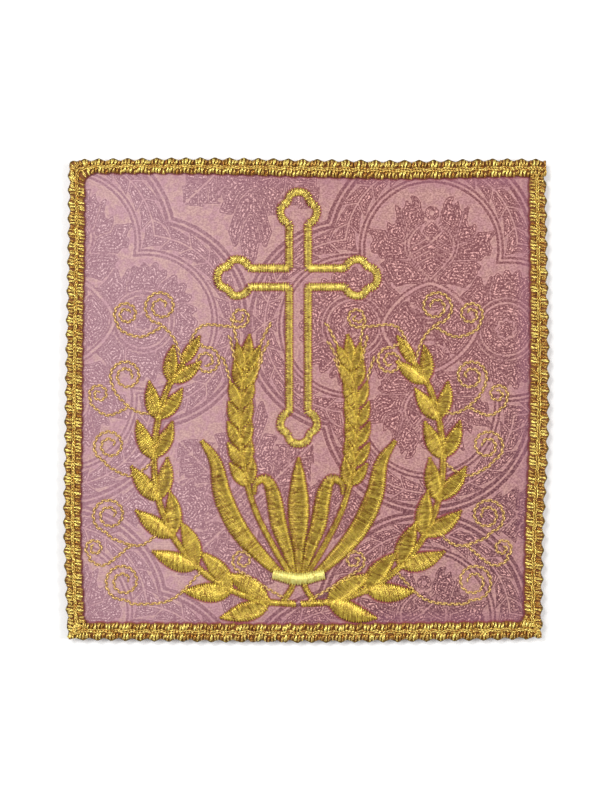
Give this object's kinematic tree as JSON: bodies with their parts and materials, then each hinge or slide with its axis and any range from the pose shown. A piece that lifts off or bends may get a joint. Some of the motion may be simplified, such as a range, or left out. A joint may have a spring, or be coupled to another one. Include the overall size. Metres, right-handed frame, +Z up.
{
  "type": "chalice pall",
  "caption": "Stiff square cloth cover for a chalice, rose damask with a gold embroidered face and a scalloped gold braid sewn round its edge.",
  "frame": {"origin": "under the middle of the pall, on the surface that it rests on", "axes": "+Z up out of the embroidered face, +Y to the top of the design, +X to its right"},
  "size_m": [0.1612, 0.1608, 0.0034],
  "materials": {
    "rose_damask": "satin damask, dusty rose ground with mauve figure",
    "gold_braid": "metallic gold yarn, braided"
  },
  "bodies": {
    "root": {"panel": "rose_damask", "braid": "gold_braid"}
  },
  "joints": []
}
